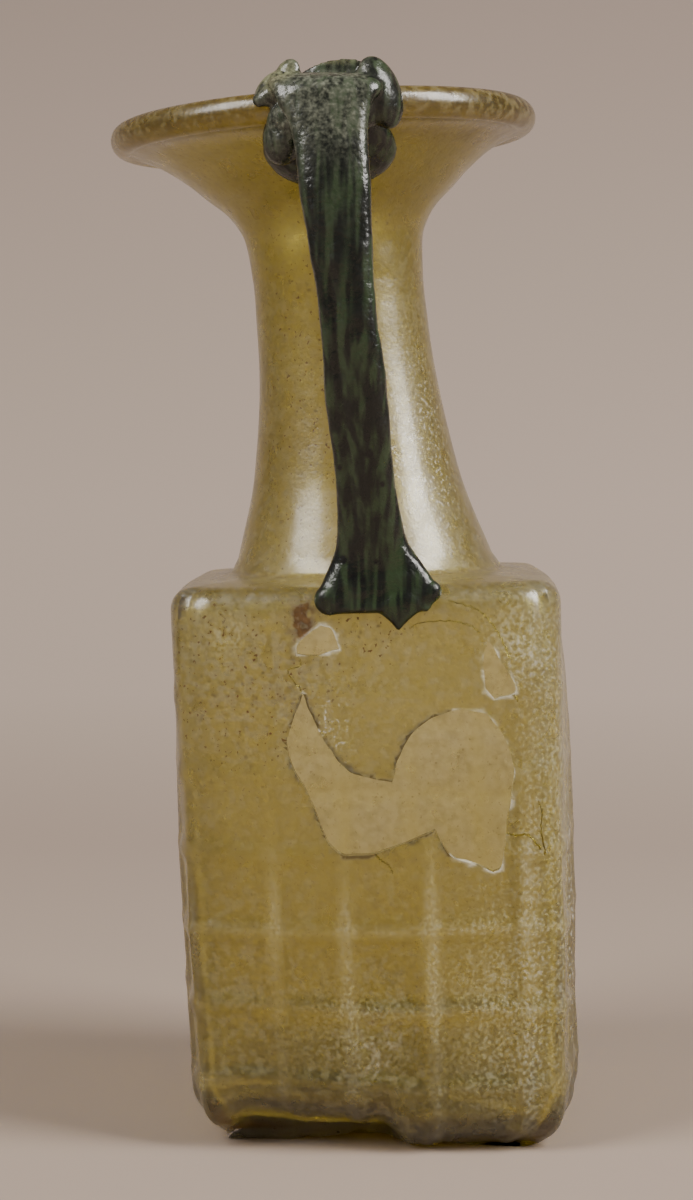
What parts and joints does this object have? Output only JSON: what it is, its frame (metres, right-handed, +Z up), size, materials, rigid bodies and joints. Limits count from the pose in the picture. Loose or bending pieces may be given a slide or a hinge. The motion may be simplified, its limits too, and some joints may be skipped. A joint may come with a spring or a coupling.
{
  "type": "glass jug",
  "caption": "Square mould-blown glass jug with a raised grid on its walls, a leaning neck, a wide rolled mouth, a broken front wall and an applied strap handle.",
  "frame": {"origin": "middle of the bounding box in X and Y, on the plane the jug stands on", "axes": "+Z up, the handle on the -Y side, +X to the right seen from the handle's side"},
  "size_m": [0.0914, 0.0908, 0.2005],
  "materials": {
    "olive_glass": "see-through yellowish olive glass, lightly weathered",
    "dark_green_glass": "glossy dark green glass, nearly opaque, with a thin grey film near the top"
  },
  "bodies": {
    "root": {"vessel": "olive_glass", "handle": "dark_green_glass"}
  },
  "joints": []
}
